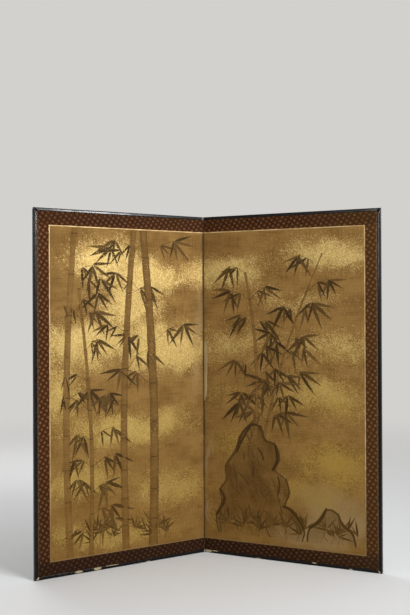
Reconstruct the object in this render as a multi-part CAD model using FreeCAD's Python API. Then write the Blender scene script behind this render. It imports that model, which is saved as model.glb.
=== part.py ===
import FreeCAD, Part
import math
import os

# Two-panel byobu: two papered lattice panels, lacquered frames on three sides, paper hinges.
# All sizes are in millimetres. +Z is up and the painted faces look towards -Y.
# Each panel is drawn flat first: x runs from the fold to the outer edge, y from the painted
# face (y = 0) into the depth, z up from the floor. The left panel is the mirror of the right.

# The whole screen
panel_height = 1700.0
panel_width = 925.0
open_angle_deg = 119.0

# Lacquered frame
frame_face = 15.0
frame_proud = 1.0
frame_outer_round = 2.5
frame_inner_chamfer = 0.8

# Bamboo pegs between the frame and the core
peg_side = 3.5
peg_in_frame = 8.0
peg_in_core = 14.0
peg_end_room = 0.5
side_peg_count = 6
rail_peg_count = 4
peg_corner_margin = 110.0

# Cedar core
core_depth = 16.0
stile_face = 24.0
rail_face = 30.0
corner_tenon_length = 18.0
corner_tenon_depth = 6.0
corner_tenon_shoulder = 5.0

# Lattice inside the core
upright_count = 7
crossbar_count = 13
bar_face = 9.0
bar_tenon_length = 8.0
bar_tenon_depth = 6.0

# Papers and silk, from the painted face inwards and from the back inwards
facing_thickness = 0.4
underpaper_thickness = 0.6
back_paper_thickness = 0.4
edge_paper_thickness = 0.2

# Brocade border and gilt line
border_side_width = 59.0
border_top_width = 62.0
border_bottom_width = 58.5
trim_width = 5.5
trim_thickness = 0.3

# Paper hinges
strip_count = 6
strip_paper = 0.3
flap_width = 22.0
strip_gap = 0.6
fold_gap = 2.0
fold_clearance = 0.2
web_end_room = 0.5

# Overrun of every cut past the face that it opens
overrun = 1.0

# Depths counted from the painted face
underpaper_front = facing_thickness
core_front = underpaper_front + underpaper_thickness
core_back = core_front + core_depth
back_paper_front = core_back + underpaper_thickness
panel_back = back_paper_front + back_paper_thickness
core_middle = (core_front + core_back) / 2

# Places across the panel, from the fold
panel_edge = fold_gap / 2
core_edge = panel_edge + edge_paper_thickness
core_outer = panel_width - frame_face
stile_inner = core_edge + stile_face
outer_stile_inner = core_outer - stile_face
picture_side = core_outer - border_side_width

# Places up the panel, from the floor
core_bottom = frame_face
core_top = panel_height - frame_face
rail_top_under = core_top - rail_face
rail_bottom_upper = core_bottom + rail_face
picture_bottom = core_bottom + border_bottom_width
picture_top = core_top - border_top_width

# Fold lines: one in front of the painted faces, one behind the backs
half_angle = math.radians(open_angle_deg / 2)
front_fold_y = -(frame_proud + fold_clearance)
back_fold_y = panel_back + frame_proud + fold_clearance
fold_depth = back_fold_y - front_fold_y

# The screen's box on the floor: reach of its rounded front corner and of its back at the fold
corner_along = (panel_width - frame_outer_round) * math.cos(half_angle)
corner_across = (fold_clearance + frame_outer_round) * math.sin(half_angle)
reach_front = corner_along - corner_across + frame_outer_round
web_back = (fold_depth - web_end_room) * math.sin(half_angle)
web_across = strip_paper / 2 * math.cos(half_angle)
reach_back = web_back + web_across
fold_line_y = (reach_front - reach_back) / 2


def block(x0, x1, y0, y1, z0, z1):
    """A straight bar or sheet between two corners."""
    corner = FreeCAD.Vector(x0, y0, z0)
    return Part.makeBox(x1 - x0, y1 - y0, z1 - z0, corner)


def joined(first, second):
    """Two blocks made one piece, without seams on the faces that they share."""
    return first.fuse(second).removeSplitter()


def stand_right(shape):
    """Put a piece drawn flat into the right panel of the standing screen."""
    placed = shape.copy()
    placed.translate(FreeCAD.Vector(0, -front_fold_y, 0))
    turn = math.degrees(half_angle) - 90
    placed.rotate(FreeCAD.Vector(0, 0, 0), FreeCAD.Vector(0, 0, 1), turn)
    placed.translate(FreeCAD.Vector(0, fold_line_y, 0))
    return placed


def stand_left(shape):
    """Put a piece drawn flat into the left panel, as the right one's mirror image."""
    return stand_right(shape).mirror(FreeCAD.Vector(0, 0, 0), FreeCAD.Vector(1, 0, 0))


stand = {"left": stand_left, "right": stand_right}


def save(node, shape):
    """Write one piece, or one group of like pieces, to its own file."""
    shape.exportStep("parts/" + node + ".step")


def spread(first, last, count):
    """Evenly spaced places, the first and last of them included."""
    step = (last - first) / (count - 1)
    return [first + step * index for index in range(count)]


def bars_between(first, last, count):
    """Centre lines of bars that divide an opening into equal bays."""
    step = (last - first) / (count + 1)
    return [first + step * (index + 1) for index in range(count)]


upright_lines = bars_between(stile_inner, outer_stile_inner, upright_count)
crossbar_lines = bars_between(rail_bottom_upper, rail_top_under, crossbar_count)


# Lattice of half-lapped bars

def tenon_band():
    """Depth range of the stub tenons, in the middle of the core."""
    return core_middle - bar_tenon_depth / 2, core_middle + bar_tenon_depth / 2


def upright(line):
    """One upright: full depth between the rails, stub tenons, laps cut in its front half."""
    left = line - bar_face / 2
    right = line + bar_face / 2
    front, back = tenon_band()
    bar = block(left, right, core_front, core_back, rail_bottom_upper, rail_top_under)
    foot = rail_bottom_upper - bar_tenon_length
    head = rail_top_under + bar_tenon_length
    bar = joined(bar, block(left, right, front, back, foot, head))
    laps = []
    for height in crossbar_lines:
        low = height - bar_face / 2
        high = height + bar_face / 2
        x0 = left - overrun
        x1 = right + overrun
        laps.append(block(x0, x1, core_front - overrun, core_middle, low, high))
    return bar.cut(Part.makeCompound(laps))


def crossbar(height):
    """One crossbar: stub tenons into the stiles, laps cut in its back half."""
    low = height - bar_face / 2
    high = height + bar_face / 2
    front, back = tenon_band()
    bar = block(stile_inner, outer_stile_inner, core_front, core_back, low, high)
    near = stile_inner - bar_tenon_length
    far = outer_stile_inner + bar_tenon_length
    bar = joined(bar, block(near, far, front, back, low, high))
    laps = []
    for line in upright_lines:
        left = line - bar_face / 2
        right = line + bar_face / 2
        z0 = low - overrun
        z1 = high + overrun
        laps.append(block(left, right, core_middle, core_back + overrun, z0, z1))
    return bar.cut(Part.makeCompound(laps))


def lattice_uprights():
    """All the uprights of one panel."""
    return Part.makeCompound([upright(line) for line in upright_lines])


def lattice_crossbars():
    """All the crossbars of one panel."""
    return Part.makeCompound([crossbar(height) for height in crossbar_lines])


# Stiles and rails of the core

def peg_heights():
    """Heights of the pegs along a stile."""
    return spread(peg_corner_margin, panel_height - peg_corner_margin, side_peg_count)


def peg_distances():
    """Distances of the pegs along a rail."""
    first = stile_inner + peg_corner_margin
    return spread(first, panel_width - peg_corner_margin, rail_peg_count)


def peg_square(centre):
    """The two edges of a peg's square section about one coordinate."""
    return centre - peg_side / 2, centre + peg_side / 2


def side_pegs(end_room):
    """Pegs that run across, through the joint between side frame and outer stile."""
    y0, y1 = peg_square(core_middle)
    x0 = core_outer - peg_in_core - end_room
    x1 = core_outer + peg_in_frame + end_room
    pegs = []
    for height in peg_heights():
        z0, z1 = peg_square(height)
        pegs.append(block(x0, x1, y0, y1, z0, z1))
    return pegs


def top_pegs(end_room):
    """Pegs that run up, through the joint between top frame and top rail."""
    y0, y1 = peg_square(core_middle)
    z0 = core_top - peg_in_core - end_room
    z1 = core_top + peg_in_frame + end_room
    pegs = []
    for distance in peg_distances():
        x0, x1 = peg_square(distance)
        pegs.append(block(x0, x1, y0, y1, z0, z1))
    return pegs


def bottom_pegs(end_room):
    """Pegs that run down, through the joint between bottom rail and bottom frame."""
    y0, y1 = peg_square(core_middle)
    z0 = core_bottom - peg_in_frame - end_room
    z1 = core_bottom + peg_in_core + end_room
    pegs = []
    for distance in peg_distances():
        x0, x1 = peg_square(distance)
        pegs.append(block(x0, x1, y0, y1, z0, z1))
    return pegs


def rail_tenon(x0, x1, low, high):
    """Corner tenon of a core rail, with a shoulder above and below it."""
    y0 = core_middle - corner_tenon_depth / 2
    y1 = core_middle + corner_tenon_depth / 2
    return block(x0, x1, y0, y1, low + corner_tenon_shoulder, high - corner_tenon_shoulder)


def core_stile(x0, x1, mouth, reach):
    """One stile with mortises for both rails and for every crossbar's stub tenon."""
    stile = block(x0, x1, core_front, core_back, core_bottom, core_top)
    front, back = tenon_band()
    tenon_end = mouth + reach * bar_tenon_length
    corner_end = mouth + reach * corner_tenon_length
    near = min(mouth, tenon_end)
    far = max(mouth, tenon_end)
    mortises = []
    for height in crossbar_lines:
        low = height - bar_face / 2
        high = height + bar_face / 2
        mortises.append(block(near, far, front, back, low, high))
    near = min(mouth, corner_end)
    far = max(mouth, corner_end)
    mortises.append(rail_tenon(near, far, core_bottom, rail_bottom_upper))
    mortises.append(rail_tenon(near, far, rail_top_under, core_top))
    return stile.cut(Part.makeCompound(mortises))


def core_stile_hinge():
    """The stile at the fold, whose mortises open away from the fold."""
    return core_stile(core_edge, stile_inner, stile_inner, -1)


def core_stile_outer():
    """The stile behind the side frame, with its peg holes."""
    stile = core_stile(outer_stile_inner, core_outer, outer_stile_inner, 1)
    return stile.cut(Part.makeCompound(side_pegs(peg_end_room)))


def core_rail(low, high, mouth, reach):
    """One rail between the stiles, tenoned at both ends and mortised for the uprights."""
    rail = block(stile_inner, outer_stile_inner, core_front, core_back, low, high)
    near = stile_inner - corner_tenon_length
    far = outer_stile_inner + corner_tenon_length
    rail = joined(rail, rail_tenon(near, far, low, high))
    front, back = tenon_band()
    bottom = min(mouth, mouth + reach * bar_tenon_length)
    top = max(mouth, mouth + reach * bar_tenon_length)
    mortises = []
    for line in upright_lines:
        left = line - bar_face / 2
        right = line + bar_face / 2
        mortises.append(block(left, right, front, back, bottom, top))
    return rail.cut(Part.makeCompound(mortises))


def core_rail_top():
    """The rail under the top frame, with its peg holes."""
    rail = core_rail(rail_top_under, core_top, rail_top_under, 1)
    return rail.cut(Part.makeCompound(top_pegs(peg_end_room)))


def core_rail_bottom():
    """The rail above the bottom frame, with its peg holes."""
    rail = core_rail(core_bottom, rail_bottom_upper, rail_bottom_upper, -1)
    return rail.cut(Part.makeCompound(bottom_pegs(peg_end_room)))


def frame_pegs():
    """All the pegs of one panel."""
    return Part.makeCompound(side_pegs(0) + top_pegs(0) + bottom_pegs(0))


# Lacquered frame

def frame_section(outward, inner_place):
    """Section of the frame: a flat bar, rounded on its two outer edges, chamfered on the inner.

    outward is the direction from the panel to the outside, and inner_place the point where the
    panel's edge meets the level of the painted face.
    """
    front = -frame_proud
    back = panel_back + frame_proud
    outer = frame_outer_round
    bulge = outer * (1 - math.sqrt(0.5))

    def at(across, depth):
        return inner_place + outward * across + FreeCAD.Vector(0, depth, 0)

    front_start = at(frame_face - outer, front)
    front_end = at(frame_face, front + outer)
    back_start = at(frame_face, back - outer)
    back_end = at(frame_face - outer, back)
    front_round = Part.Arc(front_start, at(frame_face - bulge, front + bulge), front_end)
    back_round = Part.Arc(back_start, at(frame_face - bulge, back - bulge), back_end)
    inner_side = [back_end, at(frame_inner_chamfer, back), at(0, back - frame_inner_chamfer),
                  at(0, front + frame_inner_chamfer), at(frame_inner_chamfer, front), front_start]
    edges = [front_round.toShape(), Part.LineSegment(front_end, back_start).toShape(),
             back_round.toShape()]
    edges += Part.makePolygon(inner_side).Edges
    return Part.Face(Part.Wire(edges))


def mitre_wedge(level, turn, cut_from):
    """Wedge on one side of the 45 degree joint of an outer corner.

    level is the corner's outer height, and turn is 1 at the top corner, -1 at the bottom one.
    The wedge takes the waste off the rail or off the stile that meet there.
    """
    front = -frame_proud - overrun
    depth = panel_back + 2 * frame_proud + 2 * overrun
    far = panel_width + overrun
    near = core_outer - overrun
    outside = level + turn * overrun
    inside = level - turn * (frame_face + overrun)
    waste_corner = {"rail": (far, inside), "stile": (near, outside)}[cut_from]
    outline = [(far, outside), (near, inside), waste_corner, (far, outside)]
    wedge = Part.Face(Part.makePolygon([FreeCAD.Vector(x, front, z) for x, z in outline]))
    return wedge.extrude(FreeCAD.Vector(0, depth, 0))


def frame_rail(level, turn):
    """Top or bottom frame, square at the fold and mitred at the outer corner."""
    place = FreeCAD.Vector(panel_edge, 0, level - turn * frame_face)
    section = frame_section(FreeCAD.Vector(0, 0, turn), place)
    rail = section.extrude(FreeCAD.Vector(panel_width - panel_edge, 0, 0))
    return rail.cut(mitre_wedge(level, turn, "rail"))


def frame_top():
    """The top rail of the frame, with its peg holes."""
    rail = frame_rail(panel_height, 1)
    return rail.cut(Part.makeCompound(top_pegs(peg_end_room)))


def frame_bottom():
    """The bottom rail of the frame, which stands on the floor, with its peg holes."""
    rail = frame_rail(0, -1)
    return rail.cut(Part.makeCompound(bottom_pegs(peg_end_room)))


def frame_side():
    """The outer stile of the frame, mitred at both ends, with its peg holes."""
    place = FreeCAD.Vector(core_outer, 0, 0)
    section = frame_section(FreeCAD.Vector(1, 0, 0), place)
    stile = section.extrude(FreeCAD.Vector(0, 0, panel_height))
    stile = stile.cut(mitre_wedge(panel_height, 1, "stile"))
    stile = stile.cut(mitre_wedge(0, -1, "stile"))
    return stile.cut(Part.makeCompound(side_pegs(peg_end_room)))


# Hinge strips

def strip_ends():
    """Lower and upper end of each strip, with a slit between neighbours."""
    step = (core_top - core_bottom) / strip_count
    ends = []
    for index in range(strip_count):
        low = core_bottom + step * index + strip_gap / 2
        high = core_bottom + step * (index + 1) - strip_gap / 2
        ends.append((low, high))
    return ends


def front_side_of(index):
    """The panel whose front a strip is pasted to; its other end goes to the other's back."""
    return "left" if index % 2 == 0 else "right"


def back_side_of(index):
    """The panel whose back a strip is pasted to."""
    return "right" if index % 2 == 0 else "left"


def front_flap(index):
    """Flap of one strip, let into the front underpaper beside the fold."""
    low, high = strip_ends()[index]
    y1 = underpaper_front + strip_paper
    return block(panel_edge, panel_edge + flap_width, underpaper_front, y1, low, high)


def back_flap(index):
    """Flap of one strip, let into the back underpaper beside the fold."""
    low, high = strip_ends()[index]
    y0 = back_paper_front - strip_paper
    return block(panel_edge, panel_edge + flap_width, y0, back_paper_front, low, high)


def web(index):
    """The length of one strip between its two creases, in the middle of the gap."""
    low, high = strip_ends()[index]
    half = strip_paper / 2
    y0 = front_fold_y + web_end_room
    y1 = back_fold_y - web_end_room
    return block(-half, half, y0, y1, low, high)


def flap_pockets(side):
    """Every flap that is let into one panel."""
    flaps = []
    for index in range(strip_count):
        if front_side_of(index) == side:
            flaps.append(front_flap(index))
        if back_side_of(index) == side:
            flaps.append(back_flap(index))
    return Part.makeCompound(flaps)


# Papers, silk, brocade and gilt line

def front_underpaper(side):
    """Paper layers over the core's front, cut out for the hinge flaps."""
    sheet = block(core_edge, core_outer, underpaper_front, core_front, core_bottom, core_top)
    return sheet.cut(flap_pockets(side))


def back_underpaper(side):
    """Paper layers over the core's back, cut out for the hinge flaps."""
    sheet = block(core_edge, core_outer, core_back, back_paper_front, core_bottom, core_top)
    return sheet.cut(flap_pockets(side))


def edge_paper(side):
    """Paper over the edge at the fold, notched where the hinge flaps pass."""
    y0 = underpaper_front
    strip = block(panel_edge, core_edge, y0, back_paper_front, core_bottom, core_top)
    return strip.cut(flap_pockets(side))


def back_paper():
    """Patterned paper over the whole back."""
    return block(panel_edge, core_outer, back_paper_front, panel_back, core_bottom, core_top)


def painting():
    """The painted silk on its backing, from the fold to the brocade."""
    return block(panel_edge, picture_side, 0, facing_thickness, picture_bottom, picture_top)


def mitred_strip(points):
    """A strip of brocade with the outline given in x and z, as thick as the facing."""
    corners = [FreeCAD.Vector(x, 0, z) for x, z in points + points[:1]]
    face = Part.Face(Part.makePolygon(corners))
    return face.extrude(FreeCAD.Vector(0, facing_thickness, 0))


def border_top():
    """Brocade above the painting, square at the fold and mitred at the outer corner."""
    return mitred_strip([(panel_edge, picture_top), (picture_side, picture_top),
                         (core_outer, core_top), (panel_edge, core_top)])


def border_bottom():
    """Brocade below the painting."""
    return mitred_strip([(panel_edge, core_bottom), (core_outer, core_bottom),
                         (picture_side, picture_bottom), (panel_edge, picture_bottom)])


def border_side():
    """Brocade beside the painting, mitred at both ends."""
    return mitred_strip([(picture_side, picture_bottom), (core_outer, core_bottom),
                         (core_outer, core_top), (picture_side, picture_top)])


def gold_trim():
    """Three gilt strips that lie on the painting's edge, along the brocade."""
    inner_side = picture_side - trim_width
    inner_top = picture_top - trim_width
    inner_bottom = picture_bottom + trim_width
    side = block(inner_side, picture_side, -trim_thickness, 0, picture_bottom, picture_top)
    top = block(panel_edge, inner_side, -trim_thickness, 0, inner_top, picture_top)
    bottom = block(panel_edge, inner_side, -trim_thickness, 0, picture_bottom, inner_bottom)
    return Part.makeCompound([side, top, bottom])


# The whole screen, written piece by piece

os.makedirs("parts", exist_ok=True)

like_pieces = {
    "core_stile_outer": core_stile_outer(),
    "core_stile_hinge": core_stile_hinge(),
    "core_rail_top": core_rail_top(),
    "core_rail_bottom": core_rail_bottom(),
    "lattice_uprights": lattice_uprights(),
    "lattice_crossbars": lattice_crossbars(),
    "painting": painting(),
    "border_top": border_top(),
    "border_side": border_side(),
    "border_bottom": border_bottom(),
    "gold_trim": gold_trim(),
    "frame_top": frame_top(),
    "frame_side": frame_side(),
    "frame_bottom": frame_bottom(),
    "frame_pegs": frame_pegs(),
    "back_paper": back_paper(),
}

for side in ("left", "right"):
    for name, shape in like_pieces.items():
        save(side + "_" + name, stand[side](shape))
    save(side + "_front_underpaper", stand[side](front_underpaper(side)))
    save(side + "_back_underpaper", stand[side](back_underpaper(side)))
    save(side + "_edge_paper", stand[side](edge_paper(side)))

for index in range(strip_count):
    front_side = front_side_of(index)
    back_side = back_side_of(index)
    strip = "hinge_strip_" + str(index + 1)
    # At rest a web lies along the edge of the panel whose back it is pasted to.
    save(strip + "_front", stand[front_side](front_flap(index)))
    save(strip + "_web", stand[back_side](web(index)))
    save(strip + "_back", stand[back_side](back_flap(index)))

print("front fold line at y", round(fold_line_y, 4))
print("distance between the fold lines", round(fold_depth, 4))
print("back fold lines at x", round(fold_depth * math.cos(half_angle), 4),
      "and y", round(fold_line_y + fold_depth * math.sin(half_angle), 4))
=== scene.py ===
import math

import bpy
import numpy as np
from mathutils import Matrix, Vector


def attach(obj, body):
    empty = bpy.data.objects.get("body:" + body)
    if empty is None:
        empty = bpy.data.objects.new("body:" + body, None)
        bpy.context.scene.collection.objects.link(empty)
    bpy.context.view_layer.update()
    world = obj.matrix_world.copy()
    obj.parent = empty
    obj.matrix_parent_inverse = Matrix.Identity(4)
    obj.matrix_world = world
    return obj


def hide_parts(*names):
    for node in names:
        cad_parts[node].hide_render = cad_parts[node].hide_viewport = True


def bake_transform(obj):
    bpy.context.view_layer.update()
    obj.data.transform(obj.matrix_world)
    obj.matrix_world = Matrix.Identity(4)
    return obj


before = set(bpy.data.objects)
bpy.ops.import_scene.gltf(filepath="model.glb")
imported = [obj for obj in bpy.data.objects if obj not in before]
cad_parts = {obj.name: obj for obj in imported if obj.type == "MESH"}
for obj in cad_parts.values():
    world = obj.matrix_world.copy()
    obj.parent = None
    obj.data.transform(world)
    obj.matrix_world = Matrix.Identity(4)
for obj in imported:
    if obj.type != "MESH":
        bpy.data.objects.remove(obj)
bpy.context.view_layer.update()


# The camera
# It stands where the photograph was taken from: nearly square to the screen, at about shoulder height,
# a little left of the fold. Its place and lens were fitted to the corners of both panels.

camera_place = (-0.28186, -4.65146, 1.22437)
camera_turn, camera_tilt, camera_roll = -3.407, 0.198, -0.26
camera_lens = 56.31


def new_object(name, data):
    """Puts a new object in the scene, at the origin."""
    made = bpy.data.objects.new(name, data)
    bpy.context.scene.collection.objects.link(made)
    return made


aim = Matrix.Translation(camera_place)
for angle, axis in ((camera_turn, "Z"), (90 + camera_tilt, "X"), (camera_roll, "Z")):
    aim = aim @ Matrix.Rotation(math.radians(angle), 4, axis)
camera = new_object("camera", bpy.data.cameras.new("camera"))
camera.matrix_world = aim
camera.data.lens = camera_lens
camera.data.sensor_width = 36
camera.data.sensor_fit = "AUTO"
bpy.context.scene.camera = camera


# The cedar core
# Each panel is a light frame of cedar stiles and rails round a lattice of thin bars, halved over each
# other and tenoned into the frame. It is planed, left bare, and hidden by paper on every side. Here it
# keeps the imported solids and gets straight-grained cedar, with the grain along each bar.

half_angle = math.radians(59.5)
fold_line_y = 0.2255776
face_to_pivot = 0.0012
sides = {"left": -1, "right": 1}
cedar_pale, cedar_dark, cedar_blush = (206, 166, 118), (158, 108, 66), (176, 128, 84)


def colour(rgb):
    """A colour in a picture's 0 to 255 numbers, as the linear values that Blender reads."""
    shares = [c / 255 for c in rgb]
    return tuple(s / 12.92 if s < 0.04045 else ((s + 0.055) / 1.055) ** 2.4 for s in shares) + (1.0,)


class Wire:
    """What one node hands to the next. Sums on wires become Math nodes, and [] takes another outlet."""

    def __init__(self, socket):
        self.socket, self.tree = socket, socket.id_data

    def __getitem__(self, outlet):
        return Wire(self.socket.node.outputs[outlet])

    def __abs__(self):
        return maths("ABSOLUTE", self)


for sign, operation in (("add", "ADD"), ("sub", "SUBTRACT"), ("mul", "MULTIPLY"), ("truediv", "DIVIDE")):
    setattr(Wire, f"__{sign}__", lambda wire, other, how=operation: maths(how, wire, other))
    setattr(Wire, f"__r{sign}__", lambda wire, other, how=operation: maths(how, other, wire))


def plug_in(node, plugs):
    """Gives a node's inputs, by name or number, their wires and values."""
    for place, value in plugs:
        if isinstance(value, Wire):
            node.id_data.links.new(value.socket, node.inputs[place])
        else:
            node.inputs[place].default_value = value


def put(tree, kind, *plugs, **settings):
    """Adds a node to a tree, and returns the wire from its first outlet."""
    node = tree.nodes.new(kind)
    for name, value in settings.items():
        setattr(node, name, value)
    plug_in(node, plugs)
    return Wire(node.outputs[0]) if node.outputs else None


def maths(operation, *values):
    """One sum on wires and numbers, such as SINE."""
    tree = next(value.tree for value in values if isinstance(value, Wire))
    return put(tree, "ShaderNodeMath", *enumerate(values), operation=operation)


def vectors(operation, *places):
    """One sum on places, such as LENGTH."""
    return put(places[0].tree, "ShaderNodeVectorMath", *enumerate(places), operation=operation)


def split(place):
    """A place's three numbers, as outlets 0, 1 and 2."""
    return put(place.tree, "ShaderNodeSeparateXYZ", (0, place))


def combined(tree, x=0.0, y=0.0, z=0.0):
    """A place or a size, made of its three numbers."""
    return put(tree, "ShaderNodeCombineXYZ", (0, x), (1, y), (2, z))


def ramp_up(value, low, high):
    """0 where the value is at low, 1 where it is at high, and smooth between."""
    return put(value.tree, "ShaderNodeMapRange", (0, value), (1, low), (2, high),
               interpolation_type="SMOOTHSTEP")


def tint(share, first, second, how="MIX"):
    """The first colour, with a share of the second laid over it. Each is a wire or a picture's numbers."""
    first, second = (c if isinstance(c, Wire) else colour(c) for c in (first, second))
    return put(share.tree, "ShaderNodeMix", (0, share), (6, first), (7, second), data_type="RGBA",
               blend_type=how)[2]


def mapped(place, **moves):
    """A place that is moved, turned or stretched."""
    return put(place.tree, "ShaderNodeMapping", (0, place), *moves.items())


def noise(place, scale, detail, distortion=0.0):
    """Soft random values from 0 to 1."""
    return put(place.tree, "ShaderNodeTexNoise", (0, place), ("Scale", scale), ("Detail", detail),
               ("Distortion", distortion))


def mottle(place, size, detail=2.0):
    """Soft random values. The size is how far they reach in x, y and z, in metres."""
    return noise(mapped(place, Scale=tuple(1 / s for s in size)), 1.0, detail)


def patches(place, size, low, high, detail=2.0):
    """Soft random patches of a size. The nearer low and high are to each other, the crisper the edges."""
    return ramp_up(mottle(place, size, detail), low, high)


def relief(height, depth):
    """Turns a height from 0 to 1 into a bumped normal, depth metres high."""
    return put(height.tree, "ShaderNodeBump", ("Strength", 1.0), ("Distance", depth), ("Height", height))


def new_effect(name, *sizes):
    """Starts a shader group that several finishes share. It is given a place and some sizes."""
    group = bpy.data.node_groups.new(name, "ShaderNodeTree")
    group.interface.new_socket("Place", in_out="INPUT", socket_type="NodeSocketVector")
    for size in sizes:
        group.interface.new_socket(size, in_out="INPUT", socket_type="NodeSocketFloat")
    return group, put(group, "NodeGroupInput")


def end_effect(group, **results):
    """Ends a shader group with the values that it puts out."""
    for name in results:
        group.interface.new_socket(name, in_out="OUTPUT", socket_type="NodeSocketFloat")
    put(group, "NodeGroupOutput", *results.items())


def use(effect, place, **sizes):
    """Puts a shared effect in a material, at a place and with its own sizes."""
    plugs = [(name.replace("_", " "), size) for name, size in sizes.items()]
    return put(place.tree, "ShaderNodeGroup", ("Place", place), *plugs, node_tree=effect)


def new_finish(name):
    """A new material, its node tree and its surface shader."""
    material = bpy.data.materials.new(name)
    material.use_nodes = True
    return material, material.node_tree, material.node_tree.nodes["Principled BSDF"]


def coat(surface, **sockets):
    """Gives the surface shader its values and wires, by the names of its sockets."""
    plug_in(surface, [(name.replace("_", " "), value) for name, value in sockets.items()])


def frame_place(tree):
    """Where a point lies in the shared frame."""
    return put(tree, "ShaderNodeTexCoord")["Object"]


def panel_place(tree, side):
    """Where a point lies on its panel: x across the screen, y into the panel, z up."""
    from_fold = mapped(frame_place(tree), Location=(0, -fold_line_y, 0))
    return mapped(from_fold, Rotation=(0, 0, side * (math.pi / 2 - half_angle)))


def laid_down(place):
    """A place turned so that an upright grain runs across."""
    return mapped(place, Rotation=(0, math.pi / 2, 0))


grain, given = new_effect("straight_grain", "Ring width", "Ring length")
closeness = 1.0 / given["Ring width"]
stretch = combined(grain, closeness, closeness, 1.0 / given["Ring length"])
along = vectors("MULTIPLY", given["Place"], stretch)
rings = noise(along, 1.0, 3.0)
end_effect(grain, Shade=ramp_up(rings, 0.36, 0.64), Relief=rings * 0.6 + noise(along, 5.0, 2.0) * 0.4)


def cedar(name, side, lies_down):
    """Bare planed cedar, with its grain up the panel or across it."""
    material, tree, surface = new_finish(name)
    place = panel_place(tree, side)
    if lies_down:
        place = laid_down(place)
    wood = use(grain, place, Ring_width=0.0024, Ring_length=0.16)
    shade = tint(wood["Shade"], cedar_pale, cedar_dark)
    shade = tint(mottle(place, (0.05, 0.05, 0.4)), shade, cedar_blush, "MULTIPLY")
    coat(surface, Base_Color=shade, Roughness=0.72, Normal=relief(wood["Relief"], 0.00015))
    return material


def dress(node, material):
    """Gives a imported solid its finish."""
    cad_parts[node].material_slots[0].material = material


for panel, side in sides.items():
    standing = cedar(f"cedar_upright_{panel}", side, False)
    lying = cedar(f"cedar_across_{panel}", side, True)
    for piece in ("core_stile_outer", "core_stile_hinge", "lattice_uprights"):
        dress(f"{panel}_{piece}", standing)
    for piece in ("core_rail_top", "core_rail_bottom", "lattice_crossbars"):
        dress(f"{panel}_{piece}", lying)


# The papers of the core
# Layers of handmade mulberry paper are pasted over both faces of the core, drum tight, and a strip of the
# same paper wraps its edge at the fold. The paper is cream, long-fibred, and foxed with age.

paper_cream, paper_tea = (205, 188, 150), (170, 146, 104)
edge_tan, edge_brown = (150, 124, 84), (98, 76, 46)
foxing_brown = (128, 92, 54)

fibres, given = new_effect("paper_fibres", "Fibre")
strands = None
for turn in (0.5, 1.6, 2.7):
    lean = mapped(given["Place"], Rotation=(turn, turn, turn), Scale=(1.0, 1.0, 0.12))
    strand = ramp_up(abs(noise(lean, 1.0 / given["Fibre"], 1.0, 0.6) - 0.5), 0.03, 0.0)
    strands = maths("MAXIMUM", strands, strand) if strands else strand
end_effect(fibres, Strands=strands, Clouds=noise(given["Place"], 9.0, 4.0))


def layered(base, *layers):
    """Lays tints over a base colour. Each is its share and its colour."""
    for share, shade in layers:
        base = tint(share, base, shade)
    return base


def paper(name, side, pale, dark, fibre=0.004, strand=(228, 214, 180)):
    """Handmade paper, clouded and fibrous."""
    material, tree, surface = new_finish(name)
    place = panel_place(tree, side)
    pulp = use(fibres, place, Fibre=fibre)
    foxing = patches(place, (0.012, 0.012, 0.012), 0.66, 0.78)
    shade = layered(tint(ramp_up(pulp["Clouds"], 0.3, 0.7), pale, dark), (pulp["Strands"] * 0.35, strand),
                    (foxing * 0.5, foxing_brown))
    coat(surface, Base_Color=shade, Roughness=0.86, Normal=relief(pulp["Strands"], 0.00008))
    return material


for panel, side in sides.items():
    covering = paper(f"underpaper_{panel}", side, paper_cream, paper_tea)
    dress(f"{panel}_front_underpaper", covering)
    dress(f"{panel}_back_underpaper", covering)
    dress(f"{panel}_edge_paper", paper(f"edge_paper_{panel}", side, edge_tan, edge_brown))


# The paper hinges
# Six strips of tough paper pass from one panel's front, through the gap, to the other panel's back, by
# turns, so the screen folds both ways. They are pasted down under the facings. Only their middle lengths
# show, deep in the gap, browned and rubbed by handling, and painted darker still as painted shade of the gap.

strip_count = 6
hinge_fibre = 0.003
pasted_down = {panel: paper(f"hinge_paper_{panel}", side, (176, 152, 110), (112, 86, 52), hinge_fibre)
               for panel, side in sides.items()}
# Paper for the webs in the gap and the creases: browned by handling, and painted darker still as painted
# shade of the gap.
handled_and_shaded = {panel: paper(f"handled_hinge_paper_{panel}", side, (92, 68, 36), (52, 38, 20), hinge_fibre,
                        strand=(116, 92, 56))
           for panel, side in sides.items()}
for strip in range(1, strip_count + 1):
    front, back = ("left", "right") if strip % 2 else ("right", "left")
    dress(f"hinge_strip_{strip}_front", pasted_down[front])
    dress(f"hinge_strip_{strip}_web", handled_and_shaded[back])
    dress(f"hinge_strip_{strip}_back", pasted_down[back])


# The creases of the hinges
# Each strip bends forward out of its flap and back into the gap, in one tight rounded crease at the fold. It
# is the same paper, dark with the grease of hands and with painted shade of the fold. The creases on the left
# panel's flaps are left where they stand, fastened to no panel. The others stay on their flap's panel.

crease_path = (
    # across from the fold and into the panel, from the flap's end to the leaf's front edge
    (-0.00108, 0.00052), (-0.00104, 0.00010), (-0.00092, -0.00034), (-0.00066, -0.00072),
    (-0.00030, -0.00094), (0.00006, -0.00100), (0.00036, -0.00092),
)
crease_half_thickness = 0.00014
crease_rows = 40


def flat_box(node, side):
    """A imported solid's lowest and highest corners on its panel: across, into the panel, up."""
    spots = np.array([v.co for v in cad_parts[node].data.vertices])
    x, y = spots[:, 0], spots[:, 1] - fold_line_y
    across = x * math.sin(half_angle) - side * y * math.cos(half_angle)
    deep = side * x * math.cos(half_angle) + y * math.sin(half_angle) - face_to_pivot
    flat = np.column_stack([across, deep, spots[:, 2]])
    return flat.min(0), flat.max(0)


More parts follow.
